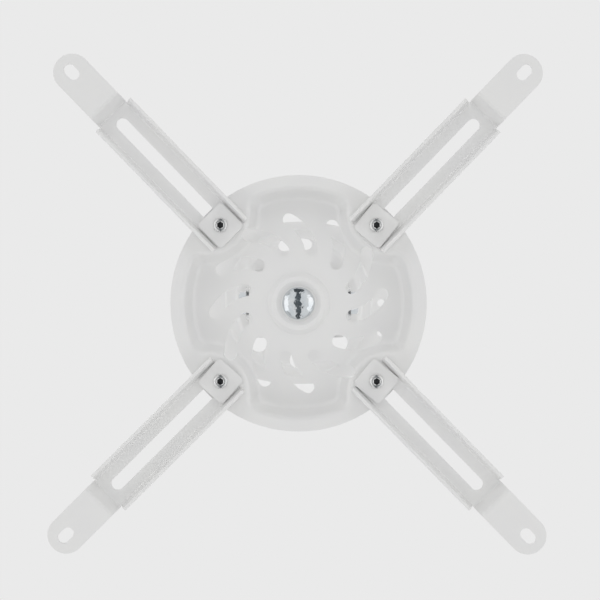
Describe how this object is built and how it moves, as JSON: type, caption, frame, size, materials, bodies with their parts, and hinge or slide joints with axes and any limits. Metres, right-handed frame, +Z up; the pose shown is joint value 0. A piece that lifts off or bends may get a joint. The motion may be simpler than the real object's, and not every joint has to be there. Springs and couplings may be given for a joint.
{
  "type": "projector ceiling mount",
  "caption": "Ceiling mount for a projector: pressed round plate with swirl vents and sliding, swinging arms, hung on a swivelling and tilting pair of yokes.",
  "frame": {"origin": "centre of the ceiling plate's face that lies against the ceiling", "axes": "+Z up into the ceiling, +X and +Y along the ceiling plate's sides; the tilt axis is along X, and the picture is taken from straight below with -Y at its top"},
  "size_m": [0.2441, 0.2451, 0.1301],
  "materials": {
    "white_steel": "satin powder coat",
    "zinc_steel": "bright zinc plating",
    "nylon": "moulded"
  },
  "bodies": {
    "ceiling_group": {"ceiling_plate": "white_steel", "swivel_bolt": "zinc_steel", "swivel_friction_washer": "nylon", "swivel_washer": "zinc_steel", "swivel_nut": "zinc_steel"},
    "neck": {"upper_yoke": "white_steel", "left_tilt_bolt": "zinc_steel", "left_tilt_washer": "zinc_steel", "left_friction_washer": "nylon", "left_tilt_nut": "zinc_steel", "right_tilt_bolt": "zinc_steel", "right_tilt_washer": "zinc_steel", "right_friction_washer": "nylon", "right_tilt_nut": "zinc_steel"},
    "tilt_head": {"lower_yoke": "white_steel"},
    "projector_head": {"projector_plate": "white_steel", "centre_bolt": "zinc_steel", "centre_friction_washer": "nylon", "centre_washer": "zinc_steel", "centre_nut": "zinc_steel", "front_left_clamp_screw": "zinc_steel", "front_left_clamp_nut": "zinc_steel", "front_right_clamp_screw": "zinc_steel", "front_right_clamp_nut": "zinc_steel", "back_left_clamp_screw": "zinc_steel", "back_left_clamp_nut": "zinc_steel", "back_right_clamp_screw": "zinc_steel", "back_right_clamp_nut": "zinc_steel"},
    "front_left_clamp": {"front_left_clamp_plate": "white_steel"},
    "front_left_arm_body": {"front_left_arm": "white_steel"},
    "front_right_clamp": {"front_right_clamp_plate": "white_steel"},
    "front_right_arm_body": {"front_right_arm": "white_steel"},
    "back_left_clamp": {"back_left_clamp_plate": "white_steel"},
    "back_left_arm_body": {"back_left_arm": "white_steel"},
    "back_right_clamp": {"back_right_clamp_plate": "white_steel"},
    "back_right_arm_body": {"back_right_arm": "white_steel"}
  },
  "joints": [
    {"name": "swivel", "type": "hinge", "parent": "ceiling_group", "child": "neck", "pos_m": [0, 0, -0.0168], "axis": [0, 0, 1], "continuous": true},
    {"name": "tilt", "type": "hinge", "parent": "neck", "child": "tilt_head", "pos_m": [0, 0, -0.058], "axis": [1, 0, 0], "range_deg": [-15, 15]},
    {"name": "turn", "type": "hinge", "parent": "tilt_head", "child": "projector_head", "pos_m": [0, 0, -0.1085], "axis": [0, 0, 1], "continuous": true},
    {"name": "front_left_swing", "type": "hinge", "parent": "projector_head", "child": "front_left_clamp", "pos_m": [-0.0384, -0.0384, -0.121], "axis": [0, 0, 1], "range_deg": [-45, 45]},
    {"name": "front_left_slide", "type": "slide", "parent": "front_left_clamp", "child": "front_left_arm_body", "axis": [-0.6965, -0.7175, 0], "range_m": [-0.029, 0.0022]},
    {"name": "front_right_swing", "type": "hinge", "parent": "projector_head", "child": "front_right_clamp", "pos_m": [0.0384, -0.0384, -0.121], "axis": [0, 0, 1], "range_deg": [-45, 45]},
    {"name": "front_right_slide", "type": "slide", "parent": "front_right_clamp", "child": "front_right_arm_body", "axis": [0.6953, -0.7187, 0], "range_m": [-0.029, 0.0027]},
    {"name": "back_left_swing", "type": "hinge", "parent": "projector_head", "child": "back_left_clamp", "pos_m": [-0.0384, 0.0384, -0.121], "axis": [0, 0, 1], "range_deg": [-45, 45]},
    {"name": "back_left_slide", "type": "slide", "parent": "back_left_clamp", "child": "back_left_arm_body", "axis": [-0.709, 0.7053, 0], "range_m": [-0.029, 0]},
    {"name": "back_right_swing", "type": "hinge", "parent": "projector_head", "child": "back_right_clamp", "pos_m": [0.0384, 0.0384, -0.121], "axis": [0, 0, 1], "range_deg": [-45, 45]},
    {"name": "back_right_slide", "type": "slide", "parent": "back_right_clamp", "child": "back_right_arm_body", "axis": [0.6997, 0.7145, 0], "range_m": [-0.029, 0.0008]}
  ]
}
